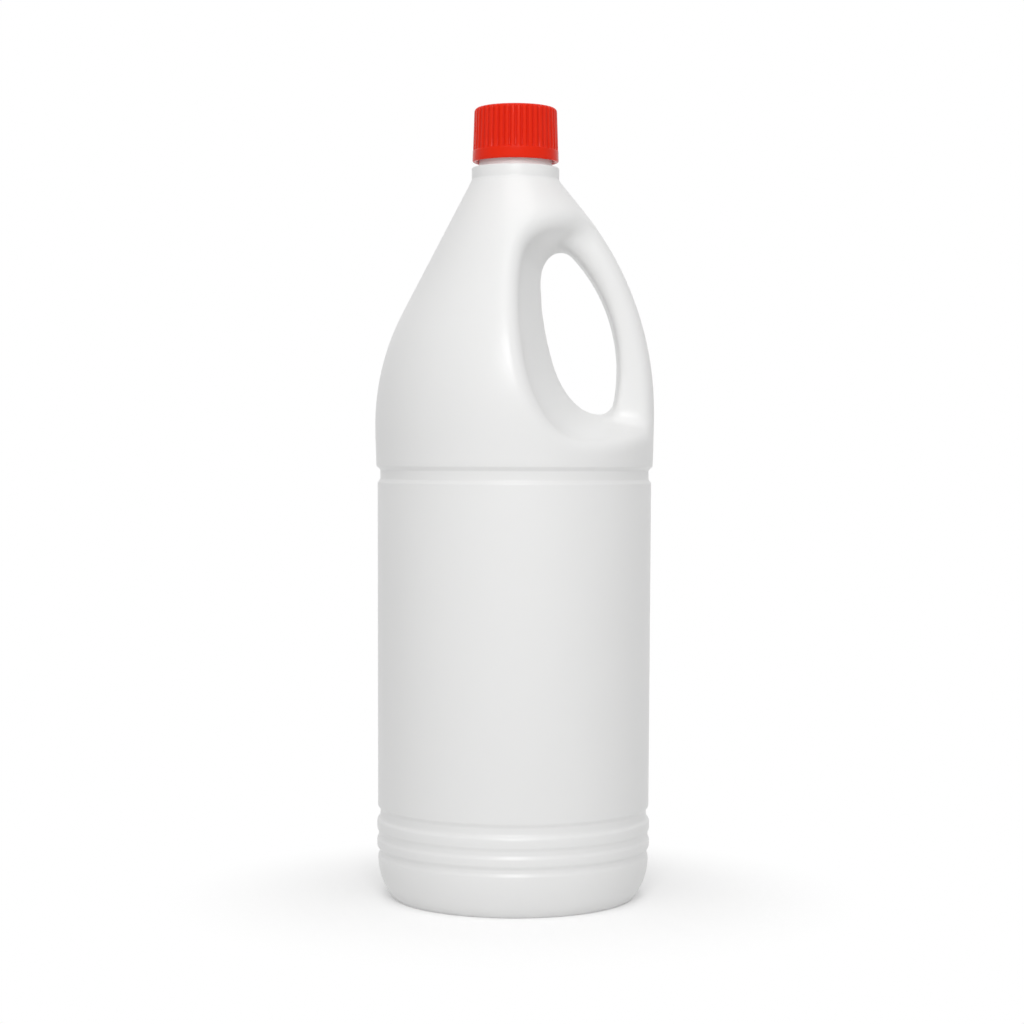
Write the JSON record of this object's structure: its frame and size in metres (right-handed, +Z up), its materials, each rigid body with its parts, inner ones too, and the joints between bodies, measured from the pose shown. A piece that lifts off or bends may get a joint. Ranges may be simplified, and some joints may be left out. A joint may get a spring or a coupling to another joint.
{
  "type": "drain cleaner bottle",
  "caption": "White blow-moulded bottle with a hollow side handle, a finger hole through the shoulder and a ribbed red screw cap with a seal liner, for pouring liquid drain cleaner.",
  "frame": {"origin": "on the bottle's axis, at the surface it stands on", "axes": "+Z up along the axis of the body, neck and cap; +X from the axis towards the handle; the finger hole runs along Y, and the picture looks along +Y"},
  "size_m": [0.0897, 0.0896, 0.2534],
  "materials": {
    "bottle_plastic": "satin white polyethylene",
    "cap_plastic": "satin red polypropylene",
    "liner_foam": "foamed polyethylene"
  },
  "bodies": {
    "bottle_body": {"bottle": "bottle_plastic"},
    "liner_body": {"seal_liner": "liner_foam"},
    "cap_body": {"cap": "cap_plastic"}
  },
  "joints": [
    {"name": "cap_rise", "type": "slide", "parent": "bottle_body", "child": "liner_body", "axis": [0, 0, 1], "range_m": [0, 0.0207]},
    {"name": "cap_turn", "type": "hinge", "parent": "liner_body", "child": "cap_body", "pos_m": [0, 0, 0.2361], "axis": [0, 0, 1], "range_deg": [0, 2340]}
  ],
  "couplings": [
    {"joint": "cap_rise", "follows": "cap_turn", "m_per_rad": 0.00050532}
  ]
}
